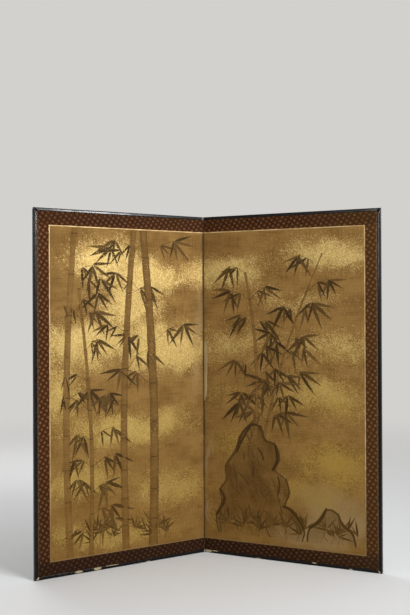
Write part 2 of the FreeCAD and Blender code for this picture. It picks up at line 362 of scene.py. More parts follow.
def stand(points, side):
    """Moves points laid out on a flat panel to where that panel stands."""
    across, deep, up = np.asarray(points, float).T
    deep = deep + face_to_pivot
    x = across * math.sin(half_angle) + side * deep * math.cos(half_angle)
    y = fold_line_y - side * across * math.cos(half_angle) + deep * math.sin(half_angle)
    return np.column_stack([x, y, up])


def tube_faces(stations, count):
    """Faces of a closed tube: rings of count points at each station, and two flat ends."""
    rings = np.arange(stations * count).reshape(stations, count)
    here, there = rings[:-1], rings[1:]
    faces = np.stack([here, np.roll(here, -1, 1), np.roll(there, -1, 1), there], 2).reshape(-1, 4).tolist()
    return faces + [rings[0][::-1].tolist(), rings[-1].tolist()]


def chart(mesh, name, across, up):
    """Gives a mesh a UV map from two values for each of its points."""
    loops = np.zeros(len(mesh.loops), int)
    mesh.loops.foreach_get("vertex_index", loops)
    layer = mesh.uv_layers.new(name=name)
    layer.data.foreach_set("uv", np.column_stack([across[loops], up[loops]]).astype(np.float32).ravel())


def mark(mesh, **marks):
    """Writes values for the points of a mesh, one for each or one for all, under names that finishes read."""
    for name, values in marks.items():
        layer = mesh.attributes.get(name) or mesh.attributes.new(name, "FLOAT", "POINT")
        layer.data.foreach_set("value", np.full(len(mesh.vertices), values, np.float32))


def new_piece(name, points, faces, side, material, **marks):
    """Makes a piece of points laid out on a flat panel, and stands it up with that panel."""
    mesh = bpy.data.meshes.new(name)
    mesh.from_pydata(stand(points, side).tolist(), [], faces)
    mesh.materials.append(material)
    mesh.shade_smooth()
    chart(mesh, "flat", np.asarray(points)[:, 0], np.asarray(points)[:, 2])
    mark(mesh, **marks)
    return new_object(name, mesh)


for strip in range(1, strip_count + 1):
    panel = "left" if strip % 2 else "right"
    side = sides[panel]
    low, high = flat_box(f"hinge_strip_{strip}_front", side)
    path = np.array(crease_path) * [-side, 1]
    heading = np.gradient(path, axis=0)
    heading /= np.linalg.norm(heading, axis=1)[:, None]
    outward = np.column_stack([heading[:, 1], -heading[:, 0]]) * crease_half_thickness
    loop = np.vstack([path + outward, (path - outward)[::-1]])
    points = [(u, y, z) for z in np.linspace(low[2], high[2], crease_rows) for u, y in loop]
    faces = tube_faces(crease_rows, len(loop))
    crease = new_piece(f"hinge_crease_{strip}", points, faces, side, handled_and_shaded[panel])
    if panel == "left":
        start, end = stand([(*path[-1], 0), (*path[0], 0)], side)
        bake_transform(crease)
    else:
        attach(crease, "right_panel")


# The painted silk
# One width of fine plain-woven silk for each panel, backed with paper and pasted on. Its ground is tea
# brown with age. Banks of mist are laid on it in sprinkled gold, thick in the middle and thinning to single
# flecks. The silk is rubbed and worn pale in places, and darkened along the fold, partly with soil and partly
# with painted shade of the crease. Its lower part, and the gold on the right panel, are painted darker as
# painted shade.

silk_columns, silk_rows = 191, 346
silk_ripple = 0.00012
silk_thread = 0.0008
fine_leaf, coarse_leaf = 430.0, 170.0
# How much the gold is painted darker low down, as painted shade: more on the right panel, which gets less
# light.
gold_tarnish = {"left": 0.52, "right": 0.85}
# Darkening along the fold: partly soil, partly painted shade in the crease between the panels.
fold_soil_and_shade = ((0.95, 0.0030), (0.25, 0.02))  # how dark, and how far from the fold it reaches
mend_soil = (0.0225, 0.0028, 0.80, 1.07, 0.6)  # middle across, half width, bottom, top, how dark
mist_banks = (
    # middle across, middle up, half width, half height, strength
    (-0.560, 1.475, 0.190, 0.085, 1.00),
    (-0.270, 1.395, 0.230, 0.075, 0.85),
    (-0.440, 1.255, 0.170, 0.100, 0.85),
    (-0.660, 1.085, 0.240, 0.105, 1.00),
    (-0.230, 1.045, 0.280, 0.100, 1.00),
    (-0.785, 0.850, 0.095, 0.130, 0.70),
    (-0.430, 0.665, 0.310, 0.080, 1.00),
    (-0.700, 0.440, 0.190, 0.085, 0.80),
    (-0.240, 0.345, 0.230, 0.075, 0.75),
    (-0.560, 0.165, 0.330, 0.060, 0.80),
    (0.150, 1.405, 0.200, 0.080, 0.95),
    (0.670, 1.505, 0.220, 0.070, 0.85),
    (0.500, 1.270, 0.230, 0.060, 0.46),
    (0.220, 1.060, 0.180, 0.090, 0.45),
    (0.690, 1.055, 0.190, 0.080, 0.55),
    (0.640, 0.805, 0.260, 0.105, 0.72),
    (0.130, 0.800, 0.120, 0.060, 0.30),
    (0.730, 0.500, 0.200, 0.100, 0.80),
    (0.560, 0.330, 0.220, 0.070, 0.62),
    (0.180, 0.560, 0.170, 0.070, 0.42),
    (0.200, 0.185, 0.200, 0.055, 0.42),
)
pale_patches = (
    (0.66, 0.330, 0.20, 0.080, 0.80),
    (0.74, 0.200, 0.16, 0.100, 0.90),
    (0.52, 0.150, 0.22, 0.055, 0.75),
    (-0.040, 1.080, 0.036, 0.330, 0.60),
    (-0.012, 0.470, 0.012, 0.110, 0.70),
    (-0.010, 0.230, 0.010, 0.070, 0.80),
    (0.014, 0.540, 0.012, 0.080, 0.60),
    (0.012, 0.240, 0.010, 0.060, 0.55),
    (-0.40, 0.950, 0.20, 0.030, 0.22),
)
rock_outlines = (
    ((0.085, 0.108), (0.060, 0.190), (0.106, 0.262), (0.084, 0.330), (0.130, 0.374), (0.118, 0.452),
     (0.180, 0.520), (0.200, 0.602), (0.262, 0.668), (0.322, 0.650), (0.330, 0.586), (0.394, 0.572),
     (0.420, 0.500), (0.378, 0.440), (0.448, 0.408), (0.470, 0.330), (0.430, 0.270), (0.506, 0.240),
     (0.548, 0.160), (0.530, 0.108)),
    ((0.556, 0.110), (0.562, 0.176), (0.614, 0.214), (0.656, 0.282), (0.712, 0.262), (0.730, 0.206),
     (0.786, 0.178), (0.800, 0.110)),
)


def cloudy(across, up, size, seed, layers=4):
    """Soft random values from 0 to 1 over the panel, in layers of ever finer detail."""
    total, weight, share = 0, 0, 1
    for layer in range(layers):
        u, v = across / size, up / size
        i, j = np.floor(u), np.floor(v)
        fu, fv = (u - i) ** 2 * (3 - 2 * (u - i)), (v - j) ** 2 * (3 - 2 * (v - j))
        corners = []
        for di, dj in ((0, 0), (1, 0), (0, 1), (1, 1)):
            wild = np.sin((i + di) * 127.1 + (j + dj) * 311.7 + (seed + layer) * 74.7) * 43758.5453
            corners.append(wild - np.floor(wild))
        low = corners[0] * (1 - fu) + corners[1] * fu
        high = corners[2] * (1 - fu) + corners[3] * fu
        total = total + (low * (1 - fv) + high * fv) * share
        weight, share, size = weight + share, share / 2, size / 2
    return total / weight


def banks(across, up, places, sharpness=1.2):
    """How much of a set of soft oval patches lies at each point, from 0 to 1."""
    u = across + 0.18 * (cloudy(across, up, 0.20, 3) - 0.5)
    v = up + 0.12 * (cloudy(across, up, 0.16, 9) - 0.5)
    bare = 1.0
    for mid_u, mid_v, half_u, half_v, strength in places:
        away = ((u - mid_u) / half_u) ** 2 + ((v - mid_v) / half_v) ** 2
        bare = bare * (1 - strength * np.exp(-away ** sharpness))
    return 1 - bare


def gold_share(across, up):
    """How thickly the gold is sprinkled at each point."""
    thick = banks(across, up, mist_banks)
    ragged = cloudy(across, up, 0.05, 21) - 0.5
    return np.clip(thick + 0.5 * ragged * np.minimum(1, thick * 3) + 0.05, 0, 1)


def rounded_line(points, rounds=3):
    """Cuts the corners off a line of points until it runs smoothly."""
    line = np.array(points, float)
    for _ in range(rounds):
        near = line[:-1] * 0.75 + line[1:] * 0.25
        far = line[:-1] * 0.25 + line[1:] * 0.75
        line = np.vstack([line[:1], np.stack([near, far], 1).reshape(-1, 2), line[-1:]])
    return line


def within(across, up, outline):
    """Which points lie inside an outline."""
    inside = np.zeros(across.shape, bool)
    for (u1, v1), (u2, v2) in zip(outline, np.roll(outline, -1, axis=0)):
        if v1 != v2:
            crosses = (up < v1) != (up < v2)
            inside ^= crosses & (across < u1 + (up - v1) * (u2 - u1) / (v2 - v1))
    return inside


def rock_wash(across, up):
    """The brown wash that fills the garden rocks, darker in their hollows and paler at their feet."""
    u = across + 0.014 * (cloudy(across, up, 0.05, 31) - 0.5)
    v = up + 0.014 * (cloudy(across, up, 0.05, 37) - 0.5)
    hollows = np.clip(cloudy(across * 1.5 + up * 0.5, up * 0.6, 0.07, 43) - 0.42, 0, 0.4)
    tone = np.minimum(0.40 + 1.5 * hollows + 0.25 * cloudy(across, up, 0.12, 41), 0.95)
    foot = 0.04 + 0.96 * np.clip((up - 0.10) / 0.12, 0, 1) ** 0.7
    inside = [within(u, v, rounded_line(outline, 2)) for outline in rock_outlines]
    return np.logical_or(*inside) * tone * foot


def grid_faces(rows, columns):
    """Faces between the points of a grid."""
    at = np.arange(rows * columns).reshape(rows, columns)
    corners = at[:-1, :-1], at[:-1, 1:], at[1:, 1:], at[1:, :-1]
    return np.column_stack([corner.ravel() for corner in corners])


def thin_sheet(across, up, front, back):
    """Points and faces of a closed sheet. Across, up and front are grids of its face; back is one depth."""
    across, up, front = np.broadcast_arrays(across, up, front)
    face = np.column_stack([across.ravel(), front.ravel(), up.ravel()])
    at = np.arange(across.size).reshape(across.shape)
    rim = np.concatenate([at[0, :-1], at[:-1, -1], at[-1, :0:-1], at[:0:-1, 0]])
    behind = face[rim] * [1, 0, 1] + [0, back, 0]
    rear = np.arange(len(rim)) + len(face)
    walls = np.column_stack([np.roll(rim, -1), rim, rear, np.roll(rear, -1)])
    faces = grid_faces(*across.shape).tolist() + walls.tolist() + [rear[::-1].tolist()]
    return np.vstack([face, behind]), faces


def joined(parts):
    """Several sets of points and faces as one."""
    points, faces = np.empty((0, 3)), []
    for more_points, more_faces in parts:
        faces += [[len(points) + n for n in face] for face in more_faces]
        points = np.vstack([points, more_points])
    return points, faces


def fix(piece, body, slot, *nodes):
    """Fastens a piece to its panel, and hides the plain solids that it stands for. The slot is not used."""
    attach(piece, body)
    if nodes:
        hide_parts(*nodes)


def flat_place(tree):
    """Where a point lies on its panel, laid flat: x across and y up."""
    return put(tree, "ShaderNodeUVMap", uv_map="flat")


def read_mark(tree, name):
    """The value that mark() wrote, in a material."""
    return put(tree, "ShaderNodeAttribute", attribute_name=name)["Fac"]


def cut_leaf(place, per_metre):
    """Cells like bits of cut leaf, with three random values in each."""
    cells = put(place.tree, "ShaderNodeTexVoronoi", (0, place), ("Scale", per_metre), voronoi_dimensions="2D")
    return put(place.tree, "ShaderNodeSeparateColor", (0, cells["Color"]))


weave, given = new_effect("plain_weave", "Thread")
threads = math.pi / given["Thread"]
axes = split(given["Place"])
warp, weft = (abs(maths("SINE", axes[n] * threads)) for n in (0, 1))
upright_slubs = mottle(given["Place"], (0.0035, 0.09, 1.0), 3.0)
level_slubs = mottle(given["Place"], (0.12, 0.0035, 1.0), 3.0)
end_effect(weave, Relief=warp * weft, Slubs=(upright_slubs + level_slubs) * 0.5)

painted_silk, tree, surface = new_finish("painted_silk")
place = flat_place(tree)
heights = split(place)[1]
cloth = use(weave, place, Thread=silk_thread)
slubs = ramp_up(cloth["Slubs"], 0.36, 0.64)
warm = patches(place, (0.05, 0.035, 1.0), 0.52, 0.72, 4.0)
rusty = patches(place, (0.10, 0.045, 1.0), 0.55, 0.72, 4.0) * ramp_up(heights, 0.60, 0.30)
worn = read_mark(tree, "pale") + (mottle(place, (0.006, 0.008, 1.0), 4.0) - 0.5) * 0.9
worn = ramp_up(worn, 0.12, 0.85)
brush = patches(place, (0.012, 0.012, 1.0), 0.25, 0.8, 3.0)
# Darkening along the fold: partly soil, partly painted shade in the crease between the panels.
grime = read_mark(tree, "grime") * patches(place, (0.004, 0.03, 1.0), 0.2, 0.6, 3.0)
sprinkled = read_mark(tree, "gold")
fine, coarse = cut_leaf(place, fine_leaf), cut_leaf(place, coarse_leaf)
leafed = ramp_up(sprinkled * 1.05 - (fine[0] * 0.62 + coarse[0] * 0.38), -0.05, 0.05) * (1.0 - worn * 0.35)
glint = fine[1] * 0.5 + coarse[1] * 0.5
bright = layered(
    tint(sprinkled, (164, 132, 68), (206, 177, 106)),
    (ramp_up(glint, 0.45, 0.85) * 0.85, (226, 200, 142)),
    (ramp_up(glint, 0.42, 0.15) * 0.6, (148, 116, 54)),
    (slubs * 0.25, (150, 118, 58)),
    # Painted shade: the gold darker low down, more so on the right panel.
    (ramp_up(heights, 1.3, 0.5) * read_mark(tree, "tarnish"), (166, 134, 56)))
ground = layered(
    tint(patches(place, (0.16, 0.10, 1.0), 0.35, 0.65, 4.0), (148, 112, 60), (123, 89, 42)),
    (warm * 0.55, (116, 76, 32)),
    (slubs * 0.36, (168, 134, 78)),
    (ramp_up(cloth["Slubs"], 0.50, 0.34) * 0.34, (108, 80, 38)),
    (rusty * 0.5, (136, 86, 42)),
    (worn * 0.62, (172, 148, 106)),
    (read_mark(tree, "wash") * (0.72 + brush * 0.4), (86, 60, 28)),
    (read_mark(tree, "ink") * 0.94, (50, 36, 18)),
    (leafed, bright),
    # Painted shade: the silk darker and warmer towards the bottom, where less light falls.
    (ramp_up(heights, 0.9, 0.1) * 0.22, (118, 82, 16)),
    (grime, (46, 33, 18)))
coat(surface, Base_Color=ground, Roughness=0.78 - leafed * 0.3, Specular_IOR_Level=0.08,
     Metallic=leafed * 0.25, Normal=relief(cloth["Relief"] + leafed, 0.00006))

for panel, side in sides.items():
    low, high = flat_box(f"{panel}_painting", side)
    across = np.linspace(low[0], high[0], silk_columns)[None, :]
    up = np.linspace(low[2], high[2], silk_rows)[:, None]
    points, faces = thin_sheet(across, up, low[1] + silk_ripple * cloudy(across, up, 0.12, 51), high[1])
    u, v = points[:, 0], points[:, 2]
    wash = rock_wash(u, v)
    # Darkening along the fold, partly soil and partly painted shade of the crease, and beside the mended
    # strip.
    soil_and_crease_shade = sum(dark * np.exp(-np.abs(u) / far) for dark, far in fold_soil_and_shade)
    soil_and_crease_shade = soil_and_crease_shade * np.clip((v - 0.25) / 0.4, 0.35, 1)
    if panel == "right":
        mid_u, half_u, low_v, high_v, dark = mend_soil
        beside_mend = np.exp(-((u - mid_u) / half_u) ** 2) * ((v > low_v) & (v < high_v))
        soil_and_crease_shade = np.maximum(soil_and_crease_shade, dark * beside_mend)
    piece = new_piece(f"{panel}_painted_silk", points, faces, side, painted_silk, wash=wash, ink=0,
                      gold=gold_share(u, v) * (1 - 0.75 * np.minimum(1, wash * 1.6)),
                      pale=banks(u, v, pale_patches), tarnish=gold_tarnish[panel], grime=soil_and_crease_shade)
    fix(piece, f"{panel}_panel", "painted_silk", f"{panel}_painting")


# The drawing
# Bamboo, garden rocks and low bamboo grass, drawn with the brush in brown and black ink on the silk. It is
# a generic design of its kind. Each culm is one wash for each joint, and leaves and lines are single
# strokes, which stand a few hundredths of a millimetre proud.

ink_sink, ink_crown = 0.00004, 0.00010
stroke_flatness = 0.03
leaf_length, leaf_width, leaf_reach = 0.115, 0.0155, 0.12
leaf_fan, fan_stray, root_stray, leaf_sizes = 0.55, 0.12, 0.003, (0.75, 1.25)
spray_leaves, knee_leaves = (3, 6), (2, 4)  # from this many leaves to one fewer than that
twig_weight, grass_weight = 0.0011, 0.0009
drawing_seeds = {"left": 7, "right": 12}
fold_margin, margin = 0.006, 0.012
leaf_margin = {"left": 0.032, "right": 0.006}
culm_bend, slender, bare_foot = 0.03, 0.03, 0.34
joint_gap, shortest_joint = 0.0022, 0.01
joint_lines = ((-0.0030, 0.0011), (0.0030, 0.0016))  # above the joint, and how heavy
joint_overhang, joint_bow = 1.12, 0.0025
second_twig, twig_rise, twig_reach, slender_reach = 0.6, (0.3, 0.9), (0.07, 0.17), 0.75
knee_out, knee_up, end_droop, knee_droop = 0.45, 0.75, (0.15, 0.8), 0.2
wash_rows = 9
wash_steps = ((-1, 1.0), (-0.82, 0.78), (-0.2, 0.50), (0.35, 0.44), (0.8, 0.70), (1, 1.0))
culms = (
    # foot across, foot up, head across, head up, width at foot, at head, joint length, tone
    (-0.300, 0.076, -0.352, 1.618, 0.050, 0.038, 0.185, 1.00),
    (-0.452, 0.076, -0.404, 1.618, 0.040, 0.030, 0.165, 0.82),
    (-0.640, 0.076, -0.700, 1.330, 0.024, 0.012, 0.130, 0.75),
    (-0.748, 0.076, -0.722, 1.618, 0.036, 0.028, 0.175, 0.55),
    (0.330, 0.600, 0.640, 1.500, 0.016, 0.007, 0.110, 0.85),
    (0.286, 0.610, 0.232, 1.420, 0.020, 0.011, 0.120, 0.70),
)
rock_line, rock_accent, rock_crease = (0.0026, 0.0066), (0.0065, 0.0095), (0.0014, 0.0058)  # how heavy
creases_per_square_metre = 260
crease_slope, crease_length, crease_bow = (1.15, 0.25), (0.03, 0.10), 0.012
grass_lean, grass_height, grass_leaf_size = 0.35, (0.035, 0.085), 0.62
grass_patches = {
    # left, right, bottom, top, tufts
    "left": ((-0.80, -0.20, 0.085, 0.125, 16),),
    "right": ((0.08, 0.56, 0.095, 0.135, 15), (0.50, 0.80, 0.090, 0.115, 9)),
}


def new_maker(name, *sizes):
    """Starts a Geometry Nodes tree that is given a starting mesh, some sizes and a finish."""
    maker = bpy.data.node_groups.new(name, "GeometryNodeTree")
    kinds = {"Start": "Geometry", "Finish": "Material", "Seed": "Int"}
    for label in ("Start", *sizes, "Finish"):
        kind = "NodeSocket" + kinds.get(label, "Float")
        maker.interface.new_socket(label, in_out="INPUT", socket_type=kind)
    maker.interface.new_socket("Made", in_out="OUTPUT", socket_type="NodeSocketGeometry")
    return maker, put(maker, "NodeGroupInput")


def moved(shape, *plugs):
    """A shape with its points put in place."""
    return put(shape.tree, "GeometryNodeSetPosition", (0, shape), *plugs)


def about_z(turn):
    """A turn about z."""
    return put(turn.tree, "FunctionNodeEulerToRotation", (0, combined(turn.tree, z=turn)))


def carried(maker, name):
    """The value that a starting mesh carries at each point."""
    return put(maker, "GeometryNodeInputNamedAttribute", ("Name", name))


def copies(points, shape, scale, **turned):
    """A copy of a shape on each point."""
    return put(points.tree, "GeometryNodeInstanceOnPoints", (0, points), ("Instance", shape),
               ("Scale", scale), *turned.items())


def end_maker(maker, shape, finish):
    """Ends a tree: its instances become real, and get their finish."""
    real = put(maker, "GeometryNodeRealizeInstances", (0, shape))
    finished = put(maker, "GeometryNodeSetMaterial", (0, real), ("Material", finish))
    put(maker, "NodeGroupOutput", (0, finished))


def grow(name, start, maker, sizes, side):
    """Runs a tree on a starting mesh, keeps what it makes as a plain mesh, and takes it to its panel."""
    piece = new_object(name, start)
    modifier = piece.modifiers.new("maker", "NODES")
    modifier.node_group = maker
    for socket in maker.interface.items_tree:
        if socket.in_out == "INPUT" and socket.name in sizes:
            modifier[socket.identifier] = sizes[socket.name]
    made = bpy.data.meshes.new_from_object(piece.evaluated_get(bpy.context.evaluated_depsgraph_get()))
    piece.modifiers.clear()
    piece.data = made
    drawn = np.zeros(len(made.vertices) * 3)
    made.vertices.foreach_get("co", drawn)
    across, up, proud = drawn.reshape(-1, 3).T
    made.vertices.foreach_set("co", stand(np.column_stack([across, -proud, up]), side).ravel())
    made.update()
    chart(made, "flat", across, up)
    return piece, across, up


def drawn_mesh(name, places, edges=(), faces=(), **marks):
    """A mesh on the drawing plane, x across and y up, with marks at its points."""
    mesh = bpy.data.meshes.new(name)
    mesh.from_pydata([(u, v, 0) for u, v in places], edges, faces)
    mark(mesh, **marks)
    return mesh


def overlaid(piece, across, up, shows, **marks):
    """Gives a stroke the mist that lies over it, less what the stroke keeps clear of."""
    gold = np.clip(gold_share(across, up) * (1 - shows) - 0.06, 0, 1)
    mark(piece.data, gold=gold, pale=0, grime=0, tarnish=0, **marks)
    return piece


leaf_maker, given = new_maker("bamboo_leaf", "Leaf length", "Leaf width", "Crown")
blade = put(leaf_maker, "GeometryNodeMeshGrid", ("Size X", 1.0), ("Size Y", 1.0), ("Vertices X", 9),
            ("Vertices Y", 3))
spot = split(put(leaf_maker, "GeometryNodeInputPosition"))
reach = spot[0] + 0.5
width = maths("MAXIMUM", maths("SINE", maths("POWER", reach, 0.62) * math.pi), 0.02)
middle = 1.0 - abs(spot[1]) * 2.0
shaped = combined(leaf_maker, reach * given["Leaf length"], spot[1] * width * given["Leaf width"],
                  middle * width * given["Crown"] - ink_sink)
leaves = copies(given["Start"], moved(blade, ("Position", shaped)), carried(leaf_maker, "size"),
                Rotation=about_z(carried(leaf_maker, "turn")))
end_maker(leaf_maker, leaves, given["Finish"])

stroke_maker, given = new_maker("brush_stroke", "Flatness")
oval = put(stroke_maker, "GeometryNodeCurvePrimitiveCircle", ("Resolution", 6), ("Radius", 1.0))
oval = put(stroke_maker, "GeometryNodeTransform", (0, oval),
           ("Scale", combined(stroke_maker, 1.0, given["Flatness"], 1.0)))
path = put(stroke_maker, "GeometryNodeMeshToCurve", (0, given["Start"]))
stroke = put(stroke_maker, "GeometryNodeCurveToMesh", (0, path), (1, oval),
             ("Scale", carried(stroke_maker, "thick")), ("Fill Caps", True))
end_maker(stroke_maker, stroke, given["Finish"])


def brushed(points, weight, tone, chance, rounds=3):
    """One brush line: it starts thin, swells, wavers a little, and ends thin."""
    line = rounded_line(points, rounds)
    along = np.linspace(0, 1, len(line))
    press = 0.35 + 0.65 * np.sin(math.pi * np.clip(along, 0.02, 0.98)) ** 0.6
    waver = 1 + 0.35 * (np.interp(along, np.linspace(0, 1, 7), chance.random(7)) - 0.5)
    return line, weight * press * waver, tone


def spread_leaves(root, heading, chance, number, size):
    """One spray of leaves, fanned round its heading."""
    found = []
    for n in range(number):
        fan = (n - (number - 1) / 2) * leaf_fan + chance.normal(0, fan_stray)
        found.append((root[0] + chance.normal(0, root_stray), root[1] + chance.normal(0, root_stray),
                      heading + fan, size * chance.uniform(*leaf_sizes)))
    return found


def culm_joints(foot_v, head_v, joint):
    """A culm's joints: how far up it each begins, as a share, and its two ends. Low ones are shorter."""
    low_v = foot_v
    while low_v < head_v - shortest_joint:
        share = (low_v - foot_v) / (head_v - foot_v)
        top_v = min(low_v + joint * (0.55 + 0.55 * min(1, 0.3 + share * 1.4)), head_v)
        yield share, low_v, top_v
        low_v = top_v


def joint_wash(low_v, top_v, spine, half, tone):
    """The wash of one joint: its points on the panel, and how strong it is at each."""
    rows = np.linspace(low_v + joint_gap, top_v - joint_gap, wash_rows)[:, None]
    belly = half * (1 + 0.10 * np.abs(np.linspace(-1, 1, wash_rows)) ** 3)[:, None]
    fade = 0.8 + 0.4 * np.abs((rows - low_v) / (top_v - low_v) - 0.5)
    step, shade = np.transpose(wash_steps)
    across = np.interp(rows, *spine) + step * belly
    points = np.broadcast_arrays(across, ink_sink - ink_crown * (1 - np.abs(step)), rows)
    return np.stack(points, 2).reshape(-1, 3), (tone * shade * fade).ravel()


def draw_twigs(mid, top_v, half, out, length, chance):
    """The one or two twigs that leave a culm at a joint, by turns to either side, and their leaves."""
    lines, leafy = [], []
    for _ in range(1 + (chance.random() < second_twig)):
        rise = chance.uniform(*twig_rise)
        reach = chance.uniform(*twig_reach) * length
        end = (mid + out * (half + reach), top_v + reach * rise)
        knee = (mid + out * (half + reach * knee_out), top_v + reach * rise * knee_up)
        lines.append(brushed(((mid + out * half, top_v), knee, end), twig_weight, 0.75, chance, 2))
        down = -math.pi / 2 + out * chance.uniform(*end_droop)
        leafy += spread_leaves(end, down, chance, int(chance.integers(*spray_leaves)), 1.0)
        leafy += spread_leaves(knee, down + out * knee_droop, chance, int(chance.integers(*knee_leaves)), 0.8)
        out = -out
    return lines, leafy


def draw_culms(side, chance):
    """Washes, joint lines, twigs and leaves of the culms that stand on one panel."""
    washes, lines, leafy = [], [], []
    for foot_u, foot_v, head_u, head_v, wide, narrow, joint, tone in culms:
        if foot_u * side < 0:
            continue
        rise = np.linspace(0, 1, 60)
        bend = culm_bend * np.sin(math.pi * rise) * (1 if head_u > foot_u else -1)
        spine = foot_v + (head_v - foot_v) * rise, foot_u + (head_u - foot_u) * rise - bend
        for number, (share, low_v, top_v) in enumerate(culm_joints(foot_v, head_v, joint)):
            half = (wide + (narrow - wide) * share) / 2
            washes.append(joint_wash(low_v, top_v, spine, half, tone))
            if top_v == head_v:
                break
            mid = float(np.interp(top_v, *spine))
            for offset, weight in joint_lines:
                bow = [(mid + s * half * joint_overhang,
                        top_v + offset + joint_bow * (s * s - 1) * np.sign(offset))
                       for s in (-1, -0.5, 0, 0.5, 1)]
                lines.append(brushed(bow, weight, 0.55 + 0.4 * tone, chance, 1))
            if share > bare_foot or wide < slender:
                out = 1 if (number + (foot_u * 100) // 1) % 2 else -1
                length = 1 if wide > slender else slender_reach
                twigs, sprays = draw_twigs(mid, top_v, half, out, length, chance)
                lines += twigs
                leafy += sprays
    return washes, lines, leafy


def draw_rock(outline, chance):
    """A rock's outline in overlapping strokes, a few heavier ones within it, and fine creases."""
    lines = [brushed(outline[first:first + 4], chance.uniform(*rock_line), chance.uniform(0.75, 1.0), chance)
             for first in range(0, len(outline) - 2, 2)]
    for first in range(1, len(outline) - 3, 5):
        accent = np.array(outline[first:first + 3])
        accent = accent + (np.mean(outline, axis=0) - accent) * [[0.02], [0.10], [0.03]]
        lines.append(brushed(accent, chance.uniform(*rock_accent), 1.0, chance))
    shape = rounded_line(outline, 2)
    low, high = shape.min(0), shape.max(0)
    for _ in range(int(creases_per_square_metre * np.prod(high - low))):
        u, v = chance.uniform(low[0], high[0]), chance.uniform(low[1] + 0.03, high[1] - 0.02)
        slope, length = chance.normal(*crease_slope), chance.uniform(*crease_length)
        bow = chance.uniform(-crease_bow, crease_bow)
        run = length * np.array([math.cos(slope), -math.sin(slope)])
        crease = (u, v) + np.array([0 * run, run / 2 + (bow, 0), run])
        if within(crease[:, 0], crease[:, 1], shape).all():
            weight, tone = chance.uniform(*rock_crease), chance.uniform(0.45, 0.95)
            lines.append(brushed(crease, weight, tone, chance, 2))
    return lines


def draw_ground(panel, chance):
    """The rocks, and the low bamboo grass at the foot of the picture."""
    lines, leafy = [], []
    if panel == "right":
        for outline in rock_outlines:
            lines += draw_rock(outline, chance)
    roots = [(chance.uniform(left, right), chance.uniform(low, high))
             for left, right, low, high, tufts in grass_patches[panel] for _ in range(tufts)]
    for u, v in roots:
        lean = chance.normal(0, grass_lean)
        height = chance.uniform(*grass_height)
        tip = (u + lean * height, v + height)
        stalk = (u, v), ((u + tip[0]) / 2, (v + tip[1]) / 2 + 0.004), tip
        lines.append(brushed(stalk, grass_weight, 0.7, chance, 2))
        number = int(chance.integers(*spray_leaves))
        leafy += spread_leaves(tip, math.pi / 2 + lean, chance, number, grass_leaf_size)
    return lines, leafy


def has_room(places, room):
    """Whether places lie within an oblong: its two ends across, and its two ends up."""
    return (places > (room[0], room[2])).all() and (places < (room[1], room[3])).all()


drawing = {}
for panel, side in sides.items():
    chance = np.random.default_rng(drawing_seeds[panel])
    washes, lines, leafy = draw_culms(side, chance)
    more_lines, more_leaves = draw_ground(panel, chance)
    low, high = flat_box(f"{panel}_painting", side)
    room = (low[0] + fold_margin, high[0] - margin, low[2] + margin, high[2] - margin)
    leaf_room = (low[0] + leaf_margin[panel], *room[1:])
    lines = [line for line in lines + more_lines if has_room(line[0], room)]
    leafy = np.array(leafy + more_leaves)
    heading = np.column_stack([np.cos(leafy[:, 2]), np.sin(leafy[:, 2])])
    ends = leafy[:, :2] + leaf_reach * leafy[:, 3:] * heading
    leafy = leafy[[has_room(np.array(both), leaf_room) for both in zip(leafy[:, :2], ends)]]
    wash_faces = grid_faces(wash_rows, len(wash_steps)).tolist()
    points, faces = joined([(spots, wash_faces) for spots, _ in washes])
    washed = new_piece(f"{panel}_culm_wash", points, faces, side, painted_silk)
    washed = overlaid(washed, points[:, 0], points[:, 2], 0.80, ink=0,
                      wash=np.concatenate([strength for _, strength in washes]))
    leaf_spots = drawn_mesh("leaf_spots", leafy[:, :2], turn=leafy[:, 2], size=leafy[:, 3],
                            ink=0.55 + 0.45 * chance.random(len(leafy)))
    sizes = {"Leaf length": leaf_length, "Leaf width": leaf_width, "Crown": ink_crown, "Finish": painted_silk}
    blades = overlaid(*grow(f"{panel}_leaves", leaf_spots, leaf_maker, sizes, side), 0.75, wash=0)
    paths, thick, inks = zip(*lines)
    firsts = np.cumsum([0] + [len(path) for path in paths]).tolist()
    edges = [(n, n + 1) for first, path in zip(firsts, paths) for n in range(first, first + len(path) - 1)]
    stroke_lines = drawn_mesh("stroke_lines", np.vstack(paths), edges, thick=np.concatenate(thick),
                              ink=np.repeat(inks, [len(path) for path in paths]))
    sizes = {"Flatness": stroke_flatness, "Finish": painted_silk}
    brushwork = overlaid(*grow(f"{panel}_brush_lines", stroke_lines, stroke_maker, sizes, side), 0.75, wash=0)
    drawing[panel] = [washed, blades, brushwork]
    for piece in drawing[panel]:
        fix(piece, f"{panel}_panel", "painted_silk")


# The cut gold
# Larger flecks of gold leaf, cut small and shaken over the wet size through a bamboo tube. They lie flat,
# thickest where a bank of mist thins out.

flecks_per_square_metre = 13000
fleck_size = 0.0015
fleck_crown = 0.00005

fleck_gold, tree, surface = new_finish("fleck_gold")
place = flat_place(tree)
lit = cut_leaf(place, 250.0)[0]
# Painted shade: the flecks darker low down.
flecks_lower_shade = ramp_up(split(place)[1], 1.3, 0.5) * 0.6
leaf = layered(tint(lit, (164, 134, 74), (216, 190, 128)), (flecks_lower_shade, (152, 120, 54)))
coat(surface, Base_Color=leaf, Metallic=0.5, Roughness=0.36 + lit * 0.2,
     Normal=relief(mottle(place, (0.001, 0.001, 1.0)), 0.00004))

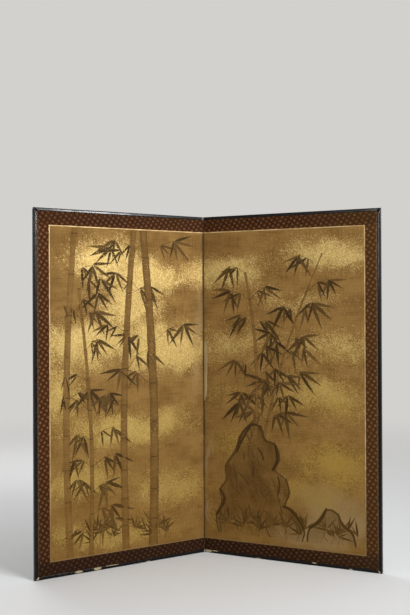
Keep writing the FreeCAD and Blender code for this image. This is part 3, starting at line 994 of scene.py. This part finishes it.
fleck_maker, given = new_maker("gold_flecks", "Flecks", "Fleck size", "Crown", "Seed")
scattered = put(fleck_maker, "GeometryNodeDistributePointsOnFaces", (0, given["Start"]),
                ("Density", carried(fleck_maker, "sown") * given["Flecks"]), ("Seed", given["Seed"]))
flake = put(fleck_maker, "GeometryNodeMeshCircle", ("Vertices", 5), ("Radius", 1.0), fill_type="TRIANGLE_FAN")
spot = put(fleck_maker, "GeometryNodeInputPosition")
lift = (0.7 - vectors("LENGTH", spot)["Value"]) * given["Crown"]
sized = put(fleck_maker, "ShaderNodeVectorMath", (0, spot), ("Scale", given["Fleck size"]), operation="SCALE")
flake = moved(flake, ("Position", sized), ("Offset", combined(fleck_maker, z=lift)))
any_turn = put(fleck_maker, "FunctionNodeRandomValue", (2, 0.0), (3, 6.283), ("Seed", 5))[1]
stretch = put(fleck_maker, "FunctionNodeRandomValue", (0, (0.5, 0.4, 1.0)), (1, (1.5, 1.1, 1.0)), ("Seed", 6),
              data_type="FLOAT_VECTOR")
end_maker(fleck_maker, copies(scattered, flake, stretch, Rotation=about_z(any_turn)), given["Finish"])

for panel, side in sides.items():
    low, high = flat_box(f"{panel}_painting", side)
    across, up = np.meshgrid(np.linspace(low[0] + 0.004, high[0] - 0.004, 120),
                             np.linspace(low[2] + 0.008, high[2] - 0.008, 220))
    u, v = across.ravel(), up.ravel()
    dense = gold_share(u, v)
    clear = 1 - np.minimum(1, 4 * rock_wash(u, v))
    fleck_bed = drawn_mesh("fleck_bed", zip(u, v), faces=grid_faces(*across.shape).tolist(),
                           sown=np.clip(3.2 * dense * (1 - dense) - 0.22 + 0.2 * dense, 0, 1) * clear)
    sizes = {"Flecks": flecks_per_square_metre, "Fleck size": fleck_size, "Crown": fleck_crown, "Seed": 3,
             "Finish": fleck_gold}
    flecks = grow(f"{panel}_gold_flecks", fleck_bed, fleck_maker, sizes, side)[0]
    fix(flecks, f"{panel}_panel", "painted_silk")


# The mended strip
# An old tear beside the fold on the right panel was closed with a strip of thin mulberry paper, torn to
# shape, pasted over the silk and toned to match. It has faded paler than the silk round it.

mend_low, mend_high = 0.768, 1.068
mend_shape = {
    # height: how far it reaches from its inner edge
    mend_low: 0.0016, mend_low + 0.020: 0.0100, mend_low + 0.048: 0.0165, mend_high - 0.03: 0.0205,
    mend_high: 0.0190,
}
mend_inner_edge = 0.0014
mend_ragged = 0.0014
mend_swell = 0.00010


def astray(along, most, size, seed, layers=4):
    """How far an edge torn or cut by hand strays from its line, along its length."""
    return most * (2 * cloudy(along, along * 0, size, seed, layers) - 1)


mending = paper("mending_paper", sides["right"], (168, 146, 98), (148, 122, 76), 0.005, (188, 168, 124))
levels = np.linspace(mend_low, mend_high, 260)[:, None]
share = np.linspace(0, 1, 6)
torn = astray(levels, mend_ragged, 0.007, 101, 5) + astray(levels, mend_ragged, 0.060, 107, 2)
reach = np.interp(levels, list(mend_shape), list(mend_shape.values())) + torn
across = mend_inner_edge + 0.3 * np.abs(torn) + reach * share
front = 0.00002 - mend_swell * np.sin(math.pi * np.clip(share, 0.05, 0.95))
points, faces = thin_sheet(across, levels, front, 0.00016)
fix(new_piece("mended_strip", points, faces, sides["right"], mending), "right_panel", "underpaper")


# The brocade
# Three strips of silk brocade border each painting, mitred at the outer corners and pasted down. Small
# four-petalled flowers in dull rose thread stand on a slanting net over a dark red-brown ground, raised by
# their long floats. The cloth darkens low down, more so on the left, and a little along the very top: partly
# soot, partly painted shade of the light falling off downwards and of the top rail's shadow. It is faded on
# the right.

net_across, net_down = np.array((0.0175, -0.0125)), np.array((-0.0105, -0.0180))
brocade_thread, float_pitch = 0.0011, 0.0009
flower_half_width, flower_half_height, flower_crown = 0.0066, 0.0050, 0.00035
lozenge_width, lozenge_height = flower_half_width * 1.15, flower_half_height * 1.15
brocade_pucker = 0.00010
# A pale band along the outer edge of each side strip, this wide.
pale_rim_width = 0.007
mitre_point = 0.0003


def soot_and_shade(place):
    """How dark the cloth is, partly with soot and partly with painted shade: most along the bottom, a little
    at the very top under the rail, and more on the left.
    """
    spot = split(place)
    rising = ramp_up(spot[1], 0.75, 0.05) * ramp_up(spot[0], 2.3, -1.1) * 0.30
    return rising + (ramp_up(spot[1], 0.11, 0.055) * 0.42 + ramp_up(spot[1], 1.61, 1.65) * 0.30)


brocade, tree, surface = new_finish("brocade")
place = flat_place(tree)
cloth = use(weave, place, Thread=brocade_thread)
half = (0.5, 0.5, 0.5)
cell = put(tree, "ShaderNodeUVMap", uv_map="net")
slant = split(vectors("SUBTRACT", vectors("FRACTION", vectors("ADD", cell, half)), half))
off_u, off_v = (slant[0] * float(net_across[n]) + slant[1] * float(net_down[n]) for n in (0, 1))
blossom = ramp_up(abs(off_u) / lozenge_width + abs(off_v) / lozenge_height, 1.1, 0.85)
ragged = (mottle(place, (0.006, 0.006, 1.0)) - 0.5) * 0.3
netting = ramp_up(maths("MAXIMUM", abs(slant[0]), abs(slant[1])) + ragged, 0.26, 0.43)
# A pale band along the outer edge of each side strip.
pale_rim_band = read_mark(tree, "rim") * patches(place, (0.004, 0.006, 1.0), 0.3, 0.7, 3.0)
base = layered(
    tint(mottle(place, (0.02, 0.03, 1.0), 4.0), (112, 62, 20), (80, 43, 14)),
    (netting * 0.80, (34, 17, 6)),
    (blossom * 0.8, (118, 80, 52)),
    (ramp_up(cloth["Slubs"], 0.4, 0.62) * 0.22, (104, 66, 36)),
    (pale_rim_band, (136, 116, 94)),
    (ramp_up(split(place)[0], 0.3, 0.9) * 0.17, (96, 78, 34)),
    # Soot, and painted shade low down and under the top rail.
    (soot_and_shade(place), (24, 14, 7)))
coat(surface, Base_Color=base, Roughness=0.8, Specular_IOR_Level=0.08,
     Normal=relief(cloth["Relief"] + blossom, 0.00012))

flower_thread, tree, surface = new_finish("flower_thread")
place = flat_place(tree)
ribs = maths("SINE", split(place)[1] * (math.tau / float_pitch))
thread = layered(
    tint(patches(place, (0.012, 0.012, 1.0), 0.3, 0.7, 3.0), (140, 104, 72), (88, 58, 33)),
    ((ribs + 1.0) * 0.14, (60, 38, 26)),
    # Soot, and painted shade low down and under the top rail.
    (soot_and_shade(place), (34, 22, 14)))
coat(surface, Base_Color=thread, Roughness=0.7, Specular_IOR_Level=0.12, Normal=relief(ribs, 0.00008))

flower_maker, given = new_maker("woven_flower", "Half width", "Half height", "Crown")
disc = put(flower_maker, "GeometryNodeMeshCircle", ("Vertices", 24), ("Radius", 1.0),
           fill_type="TRIANGLE_FAN")
spot = put(flower_maker, "GeometryNodeInputPosition")
axes = split(spot)
petal = 0.56 + abs(maths("COSINE", maths("ARCTAN2", axes[1], axes[0]) * 2.0)) * 0.44
shaped = combined(flower_maker, axes[0] * petal * given["Half width"],
                  axes[1] * petal * given["Half height"],
                  (0.85 - vectors("LENGTH", spot)["Value"]) * given["Crown"])
bloom = put(flower_maker, "FunctionNodeRandomValue", (2, 0.88), (3, 1.03), ("Seed", 2))[1]
end_maker(flower_maker, copies(given["Start"], moved(disc, ("Position", shaped)), bloom), given["Finish"])


def net_place(across, up):
    """Where a point lies on the brocade's slanting net, counted in flowers."""
    return np.linalg.inv(np.column_stack([net_across, net_down])) @ np.vstack([across, up])


def brocade_strip(panel, side, strip):
    """One mitred strip: its grid of points, across and up, and its outline."""
    border, picture = flat_box(f"{panel}_border_side", side), flat_box(f"{panel}_painting", side)
    fold, inner = sorted((picture[0][0], picture[1][0]), key=abs)
    outer = max(border[0][0], border[1][0], key=abs)
    low_v, picture_low, picture_high, high_v = border[0][2], picture[0][2], picture[1][2], border[1][2]
    if strip == "side":
        outline = ((outer, low_v), (outer, high_v), (inner, picture_high), (inner, picture_low))
        v = np.unique(np.concatenate([np.linspace(low_v + mitre_point, picture_low, 14),
                                      np.linspace(picture_low, picture_high, 220),
                                      np.linspace(picture_high, high_v - mitre_point, 14)]))[:, None]
        share = np.minimum((v - low_v) / (picture_low - low_v), (high_v - v) / (high_v - picture_high))
        start, stop, columns = outer + (inner - outer) * np.clip(share, 0, 1), outer, 13
    else:
        near_v, far_v = (picture_high, high_v) if strip == "top" else (picture_low, low_v)
        outline = ((fold, near_v), (inner, near_v), (outer, far_v), (fold, far_v))
        v = np.linspace(*sorted((near_v, far_v)), 13)[:, None]
        share = (v - near_v) / (far_v - near_v)
        start, stop, columns = fold, inner + (outer - inner) * share, 130
    if side < 0:
        start, stop = stop, start
    return start + (stop - start) * np.linspace(0, 1, columns), v, outline


for panel, side in sides.items():
    for strip in ("top", "side", "bottom"):
        low, high = flat_box(f"{panel}_border_{strip}", side)
        across, up, outline = brocade_strip(panel, side, strip)
        front = low[1] + brocade_pucker * cloudy(across, up, 0.02, 61)
        points, faces = thin_sheet(across, up, front, high[1])
        from_rim = np.abs(points[:, 0] - max(low[0], high[0], key=abs))
        rim = np.clip(1 - from_rim / pale_rim_width, 0, 1) * (strip == "side") * 0.9
        band = new_piece(f"{panel}_brocade_{strip}", points, faces, side, brocade, rim=rim)
        chart(band.data, "net", *net_place(points[:, 0], points[:, 2]))
        fix(band, f"{panel}_panel", "brocade", f"{panel}_border_{strip}")
        counts = net_place(*np.transpose(outline))
        first, last = np.floor(counts.min(1)).astype(int), np.ceil(counts.max(1)).astype(int)
        s, t = np.meshgrid(np.arange(first[0], last[0] + 1), np.arange(first[1], last[1] + 1))
        blooms = s.reshape(-1, 1) * net_across + t.reshape(-1, 1) * net_down
        tips = [blooms + (du * flower_half_width, dv * flower_half_height)
                for du, dv in ((1, 0), (-1, 0), (0, 1), (0, -1))]
        clear = np.logical_and.reduce([within(*tip.T, outline) for tip in tips])
        sizes = {"Half width": flower_half_width, "Half height": flower_half_height, "Crown": flower_crown,
                 "Finish": flower_thread}
        flower_spots = drawn_mesh("flower_spots", blooms[clear])
        sprigs = grow(f"{panel}_brocade_flowers_{strip}", flower_spots, flower_maker, sizes, side)[0]
        fix(sprigs, f"{panel}_panel", "brocade")


# The gilt line
# A narrow strip of gilt paper covers the joint between silk and brocade. It was cut by eye, so its inner
# edge wavers, and its leaf is rubbed through to the buff paper along the arris.

gilt_width = 0.0055
gilt_waver = 0.0005
gilt_crown = 0.00012
gilt_lap = 0.00002

rubbed_edge, given = new_effect("rubbed_edge", "Closeness", "Reach", "Grit")
gritty = noise(given["Place"], 1.0 / given["Grit"], 4.0) - 0.5
uneven = noise(given["Place"], 14.0, 2.0) - 0.5
bite = given["Closeness"] * given["Reach"] + (gritty * 1.2 + uneven * 0.9)
end_effect(rubbed_edge, Rubbed=ramp_up(bite, 0.5, 0.62))

gilt_paper, tree, surface = new_finish("gilt_paper")
place = flat_place(tree)
wear = use(rubbed_edge, place, Closeness=read_mark(tree, "arris"), Reach=0.35, Grit=0.003)
gilt = layered(
    tint(patches(place, (0.03, 0.05, 1.0), 0.35, 0.65, 3.0), (206, 176, 126), (174, 140, 92)),
    (wear * 0.7, (150, 118, 74)),
    (ramp_up(split(place)[1], 0.60, 0.12) * 0.9, (130, 100, 56)))
coat(surface, Base_Color=gilt, Metallic=0.25 - wear * 0.2, Specular_IOR_Level=0.2,
     Roughness=0.5 + wear * 0.35, Normal=relief(mottle(place, (0.002, 0.002, 1.0)), 0.00005))


for panel, side in sides.items():
    low, high = flat_box(f"{panel}_gold_trim", side)
    fold, outer = sorted((low[0], high[0]), key=abs)
    share = np.linspace(0, 1, 7)
    crown = low[1] + gilt_crown * (2 * share - 1) ** 4
    levels = np.linspace(low[2], high[2], 420)[:, None]
    inner = outer - side * (gilt_width + astray(levels, gilt_waver, 0.04, 71))
    start, stop = (inner, outer) if side > 0 else (outer, inner)
    parts = [thin_sheet(start + (stop - start) * share, levels, crown, high[1])]
    across = np.linspace(*sorted((fold, outer - side * gilt_width * 0.8)), 240)
    width = gilt_width + astray(across, gilt_waver, 0.04, 73)
    for start, stop in ((high[2] - width, high[2]), (low[2], low[2] + width)):
        up = start + (stop - start) * share[:, None]
        parts.append(thin_sheet(across, up, crown[:, None] + gilt_lap, high[1]))
    points, faces = joined(parts)
    arris = np.clip((points[:, 1] - low[1]) / gilt_crown, 0, 1)
    line = new_piece(f"{panel}_gilt_line", points, faces, side, gilt_paper, arris=arris)
    fix(line, f"{panel}_panel", "gilt_paper", f"{panel}_gold_trim")


# The lacquered frame
# Three bars of cypress in black lacquer, mitred at the outer corners, hide the core's edges and are held to
# it by bamboo pegs. The lacquer has a soft gloss. It is rubbed brown along the arrises and chipped to the
# pale wood on the bottom bars, which take the knocks.

outer_round = 0.0032
face_crown = 0.00010
inner_chamfer, chamfer_wear = 0.0008, 0.6
face_depth, bar_middle, back_middle = 0.006, 0.009, 0.0075
edge_depths = (0.006, 0.010, 0.014)
bar_stations = 170
chip_depth, arris_wear = 0.0005, 0.00012
chips = {
    # middle across, middle out from the panel, half length, half height, of each chip on the bottom bars
    "left": ((-0.914, 0.004, 0.010, 0.009), (-0.705, 0.006, 0.022, 0.006), (-0.607, 0.005, 0.021, 0.008),
             (-0.530, 0.001, 0.036, 0.0024), (-0.330, 0.013, 0.012, 0.003)),
    "right": ((0.022, 0.006, 0.020, 0.0090), (0.060, 0.002, 0.018, 0.0026), (0.300, 0.013, 0.016, 0.003),
              (0.592, 0.002, 0.013, 0.0024), (0.775, 0.011, 0.010, 0.003), (0.914, 0.006, 0.007, 0.007)),
}

bamboo, tree, surface = new_finish("bamboo_pegs")
cane = use(grain, frame_place(tree), Ring_width=0.0006, Ring_length=0.02)
coat(surface, Base_Color=tint(cane["Shade"], (208, 184, 128), (170, 138, 84)), Roughness=0.5,
     Normal=relief(cane["Relief"], 0.0001))
for panel in sides:
    dress(f"{panel}_frame_pegs", bamboo)

lacquer, tree, surface = new_finish("black_lacquer")
place = frame_place(tree)
near_arris = read_mark(tree, "arris")
wear = use(rubbed_edge, place, Closeness=near_arris, Reach=0.42, Grit=0.004)
smear = mottle(place, (0.06, 0.06, 0.03), 4.0)
dust = ramp_up(smear, 0.45, 0.75)
ragged = (mottle(place, (0.004, 0.004, 0.003), 4.0) - 0.5) * 0.7
bared = ramp_up(read_mark(tree, "bare") + ragged, 0.42, 0.5)
wood = use(grain, laid_down(place), Ring_width=0.0015, Ring_length=0.05)
film = layered(tint(dust * 0.25, (9, 7, 5), (26, 22, 17)), (wear * 0.55, (74, 50, 30)),
               (bared, tint(wood["Shade"], (204, 190, 156), (152, 130, 94))))
coat(surface, Base_Color=film, Roughness=0.26 + maths("MAXIMUM", bared, dust * 0.5) * 0.5,
     Specular_IOR_Level=0.14, Coat_Weight=(1.0 - bared) * (0.1 + near_arris * 0.2), Coat_Roughness=0.12,
     Normal=relief(smear - bared, 0.0002))


def bar_section(thickness, front, back):
    """A bar's section, once round: how far out from the panel, how deep, and how near an arris."""
    turns = [(math.sin(a), math.cos(a), math.sin(2 * a)) for a in np.linspace(0, math.pi / 2, 6)]
    flat = thickness - outer_round
    face = [flat * n / 7 for n in range(1, 7)]
    section = [(0.0, front + inner_chamfer + face_crown, chamfer_wear)]
    section += [(d, front + face_crown * (2 * d / flat - 1) ** 2, chamfer_wear * (d == face[0]))
                for d in face]
    section += [(flat + outer_round * s, front + face_crown + (outer_round - face_crown) * (1 - c), near)
                for s, c, near in turns]
    section += [(thickness, front + d, 0.0) for d in edge_depths]
    section += [(flat + outer_round * c, back - outer_round + outer_round * s, near) for s, c, near in turns]
    section += [(back_middle, back, 0.0), (inner_chamfer, back, chamfer_wear),
                (0.0, back - inner_chamfer, chamfer_wear), (0.0, bar_middle, 0.0)]
    return np.array(section)


for panel, side in sides.items():
    top, bottom, upright = (flat_box(f"{panel}_frame_{bar}", side) for bar in ("top", "bottom", "side"))
    out, deep, arris = bar_section(upright[1][0] - upright[0][0], top[0][1], top[1][1]).T
    mitre_u = min(upright[0][0], upright[1][0], key=abs) + side * out
    fold_u = np.full(len(out), min(top[0][0], top[1][0], key=abs))
    high_v, low_v = top[0][2] + out, bottom[1][2] - out
    near = np.tile(arris, bar_stations)
    for bar, *ends in (("top", (fold_u, deep, high_v), (mitre_u, deep, high_v)),
                       ("bottom", (fold_u, deep, low_v), (mitre_u, deep, low_v)),
                       ("side", (mitre_u, deep, low_v), (mitre_u, deep, high_v))):
        start, stop = np.transpose(ends, (0, 2, 1))
        points = (start + (stop - start) * np.linspace(0, 1, bar_stations)[:, None, None]).reshape(-1, 3)
        bare = np.zeros(len(points))
        for mid_u, mid_out, half_u, half_out in chips[panel] if bar == "bottom" else ():
            away = (((points[:, 0] - mid_u) / half_u) ** 2
                    + ((bottom[1][2] - points[:, 2] - mid_out) / half_out) ** 2)
            bare = np.maximum(bare, np.exp(-away ** 2) * (points[:, 1] < face_depth))
        uneven = cloudy(points[:, 0] + points[:, 2], points[:, 1], 0.012, 81)
        sunk = chip_depth * bare + arris_wear * near * uneven
        points[:, 1] += sunk * np.where(points[:, 1] < bar_middle, 1, -1)
        faces = tube_faces(bar_stations, len(out))
        if (bar == "top") == (side > 0):
            faces = [face[::-1] for face in faces]
        rail = new_piece(f"{panel}_lacquer_{bar}", points, faces, side, lacquer, arris=near, bare=bare)
        rail.data.polygons.foreach_set("use_smooth", [True] * (len(faces) - 2) + [False] * 2)
        fix(rail, f"{panel}_panel", "black_lacquer", f"{panel}_frame_{bar}")


# The back
# Block-printed paper in a pattern of linked rings covers the back, in sheets that lap a little. Drawn tight
# by its paste, it sinks slightly between the bars of the lattice below.

ring_pitch = 0.060
sheet_height, lap_width = 0.42, 0.006
lattice_bars = {"across": 7, "up": 13}
back_sag, sag_reach, back_ripple = 0.00022, 0.04, 0.00005

back_paper, tree, surface = new_finish("back_paper")
place = flat_place(tree)
pulp = use(fibres, place, Fibre=0.004)
rings = []
for shift in (0.0, 0.5):
    cell = mapped(place, Location=(shift, shift, 0.0), Scale=(1 / ring_pitch, 1 / ring_pitch, 0.0))
    from_middle = vectors("DISTANCE", vectors("FRACTION", cell), (0.5, 0.5, 0.0))["Value"]
    rings.append(ramp_up(abs(from_middle - 0.5), 0.032, 0.018))
inked = ramp_up(maths("MAXIMUM", *rings) + mottle(place, (0.003, 0.003, 1.0), 3.0) * 0.8, 0.85, 1.1)
base = layered(
    tint(ramp_up(pulp["Clouds"], 0.3, 0.7), (116, 112, 88), (96, 92, 70)),
    (inked * 0.7, (62, 66, 54)),
    (pulp["Strands"] * 0.2, (156, 148, 118)),
    (patches(place, (0.25, 0.18, 1.0), 0.5, 0.7, 5.0) * 0.35, (84, 68, 44)),
    (read_mark(tree, "lap") * 0.5, (66, 60, 44)))
coat(surface, Base_Color=base, Roughness=0.84, Normal=relief(pulp["Strands"], 0.00008))

for panel, side in sides.items():
    low, high = flat_box(f"{panel}_back_paper", side)
    across, up = np.meshgrid(np.linspace(low[0], high[0], 150), np.linspace(low[2], high[2], 270))
    uprights = np.linspace(low[0], high[0], lattice_bars["across"] + 2)[1:-1]
    crossbars = np.linspace(low[2], high[2], lattice_bars["up"] + 2)[1:-1]
    from_bar = np.minimum(np.abs(across[..., None] - uprights).min(-1),
                          np.abs(up[..., None] - crossbars).min(-1))
    sunk = back_sag * np.clip(from_bar / sag_reach, 0, 1) ** 0.7 + back_ripple * cloudy(across, up, 0.05, 91)
    points, faces = thin_sheet(-across[:, ::-1], up, sunk[:, ::-1] - high[1], -low[1])
    points = points * [-1, -1, 1]
    from_lap = np.abs((points[:, 2] - low[2] + sheet_height / 2) % sheet_height - sheet_height / 2)
    lap = np.clip(1 - from_lap / lap_width, 0, 1)
    rear = new_piece(f"{panel}_back_sheet", points, faces, side, back_paper, lap=lap)
    fix(rear, f"{panel}_panel", "back_paper", f"{panel}_back_paper")


# The studio
# A plain pale floor under plain soft light: one large lamp high on the right in front, a weaker one behind,
# two small ones that only put a gleam on the left rail and the right stile, and an even pale surround.

surround = (211, 209, 206)
floor_reach = 14
lamps = (
    # name, place, aim, size, watts, and whether it does more than put a gleam on things
    ("key_lamp", (2.1, -3.0, 3.8), (-0.35, 0.0, 1.25), (1.8, 1.8), 145.0, True),
    ("back_lamp", (-2.0, 3.6, 3.0), (0.0, 0.2, 0.8), (2.4, 2.4), 60.0, True),
    ("rail_lamp", (2.83, -2.21, 2.09), (-0.53, -0.09, 1.69), (0.6, 0.28), 76.0, False),
    ("stile_lamp", (-2.14, -2.94, 1.93), (0.79, -0.24, 1.6), (0.14, 0.9), 14.0, False),
)



def seen_by(tree, *kinds):
    """1 for these kinds of ray, and 0 for all others."""
    rays, seen = put(tree, "ShaderNodeLightPath"), 0.0
    for kind in kinds:
        seen = maths("MAXIMUM", rays[f"Is {kind} Ray"], seen)
    return seen


floor_paint, tree, surface = new_finish("studio_floor")
spot = frame_place(tree)
coat(surface, Base_Color=tint(mottle(spot, (0.8, 0.8, 0.8), 3.0), (238, 240, 242), (233, 235, 237)),
     Roughness=0.9)
far_off = ramp_up(vectors("LENGTH", spot)["Value"], 1.2, 7.0) * seen_by(tree, "Camera", "Glossy")
haze = put(tree, "ShaderNodeEmission", ("Color", colour(surround)), ("Strength", 1.0))
faded = put(tree, "ShaderNodeMixShader", (0, far_off), (1, Wire(surface.outputs[0])), (2, haze))
plug_in(tree.nodes["Material Output"], [(0, faded)])

floor_mesh = bpy.data.meshes.new("floor")
corners = [(u * floor_reach, v * floor_reach, 0) for u, v in ((-1, -1), (1, -1), (1, 1), (-1, 1))]
floor_mesh.from_pydata(corners, [], [(0, 1, 2, 3)])
floor_mesh.materials.append(floor_paint)
new_object("floor", floor_mesh)

world = bpy.data.worlds.new("studio")
bpy.context.scene.world = world
world.use_nodes = True
tree = world.node_tree
tree.nodes.clear()
sky_light = put(tree, "ShaderNodeBackground", ("Color", (1.0, 0.98, 0.95, 1)), ("Strength", 0.40))
backdrop = put(tree, "ShaderNodeBackground", ("Color", colour(surround)), ("Strength", 1.0))
sky = put(tree, "ShaderNodeMixShader", (0, seen_by(tree, "Camera", "Glossy", "Transmission")),
          (1, sky_light), (2, backdrop))
put(tree, "ShaderNodeOutputWorld", (0, sky))

for name, place, target, size, watts, lights_all in lamps:
    lamp = bpy.data.lights.new(name, "AREA")
    lamp.shape = "RECTANGLE"
    lamp.size, lamp.size_y = size
    lamp.energy = watts
    holder = new_object(name, lamp)
    holder.location = place
    holder.rotation_euler = (Vector(target) - Vector(place)).to_track_quat("-Z", "Y").to_euler()
    holder.visible_diffuse = lights_all

bpy.context.scene.view_settings.view_transform = "Standard"
